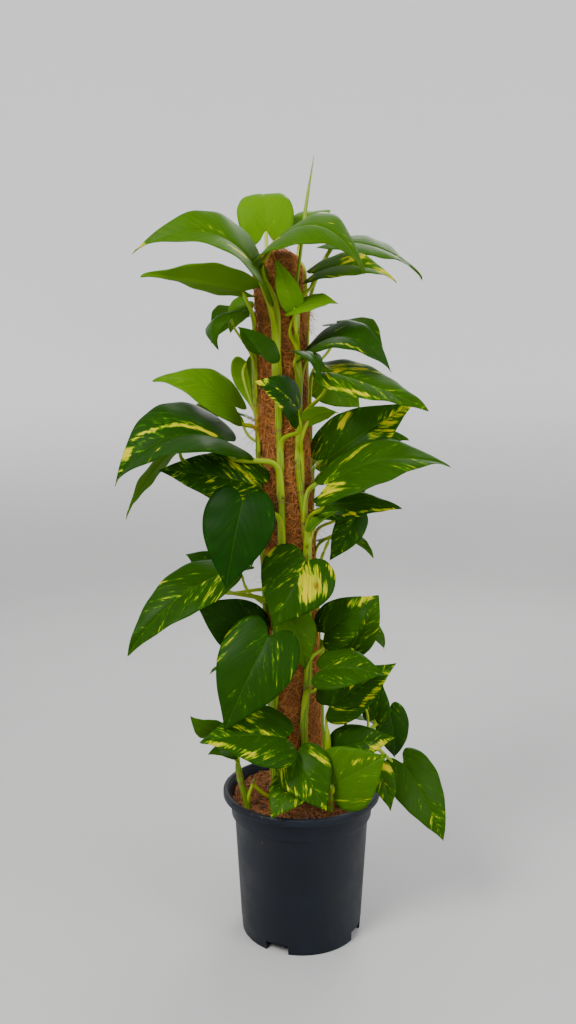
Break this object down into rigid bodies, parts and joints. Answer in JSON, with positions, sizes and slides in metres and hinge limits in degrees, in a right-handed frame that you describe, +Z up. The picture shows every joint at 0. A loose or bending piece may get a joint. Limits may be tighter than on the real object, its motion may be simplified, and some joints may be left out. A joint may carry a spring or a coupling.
{
  "type": "golden pothos on a coir pole in a nursery pot",
  "caption": "Variegated climbing pothos with heart-shaped leaves, trained up a coir-wrapped pole that stands in the soil of a plain round nursery pot.",
  "frame": {"origin": "middle of the pot's foot, on the surface that it stands on", "axes": "+Z up along the pot's axis, -Y towards the front, +X to the right"},
  "size_m": [0.3741, 0.26, 0.9161],
  "materials": {
    "pot_plastic": "semi-matte dark slate injection-moulded plastic",
    "soil": "rough red-brown coir and bark potting mix",
    "stake_wood": "plain sawn round stake",
    "coir": "matted brown coconut fibre",
    "foliage": "smooth, softly glossy leaf, green with yellow variegation"
  },
  "bodies": {
    "root": {"pot": "pot_plastic", "soil": "soil", "pole_stake": "stake_wood", "pole_coir": "coir", "vine_front_left": "foliage", "vine_front_right": "foliage", "vine_left": "foliage", "vine_back_left": "foliage", "vine_back_right": "foliage", "shoot_left": "foliage", "shoot_right": "foliage", "shoot_front": "foliage"}
  },
  "joints": []
}
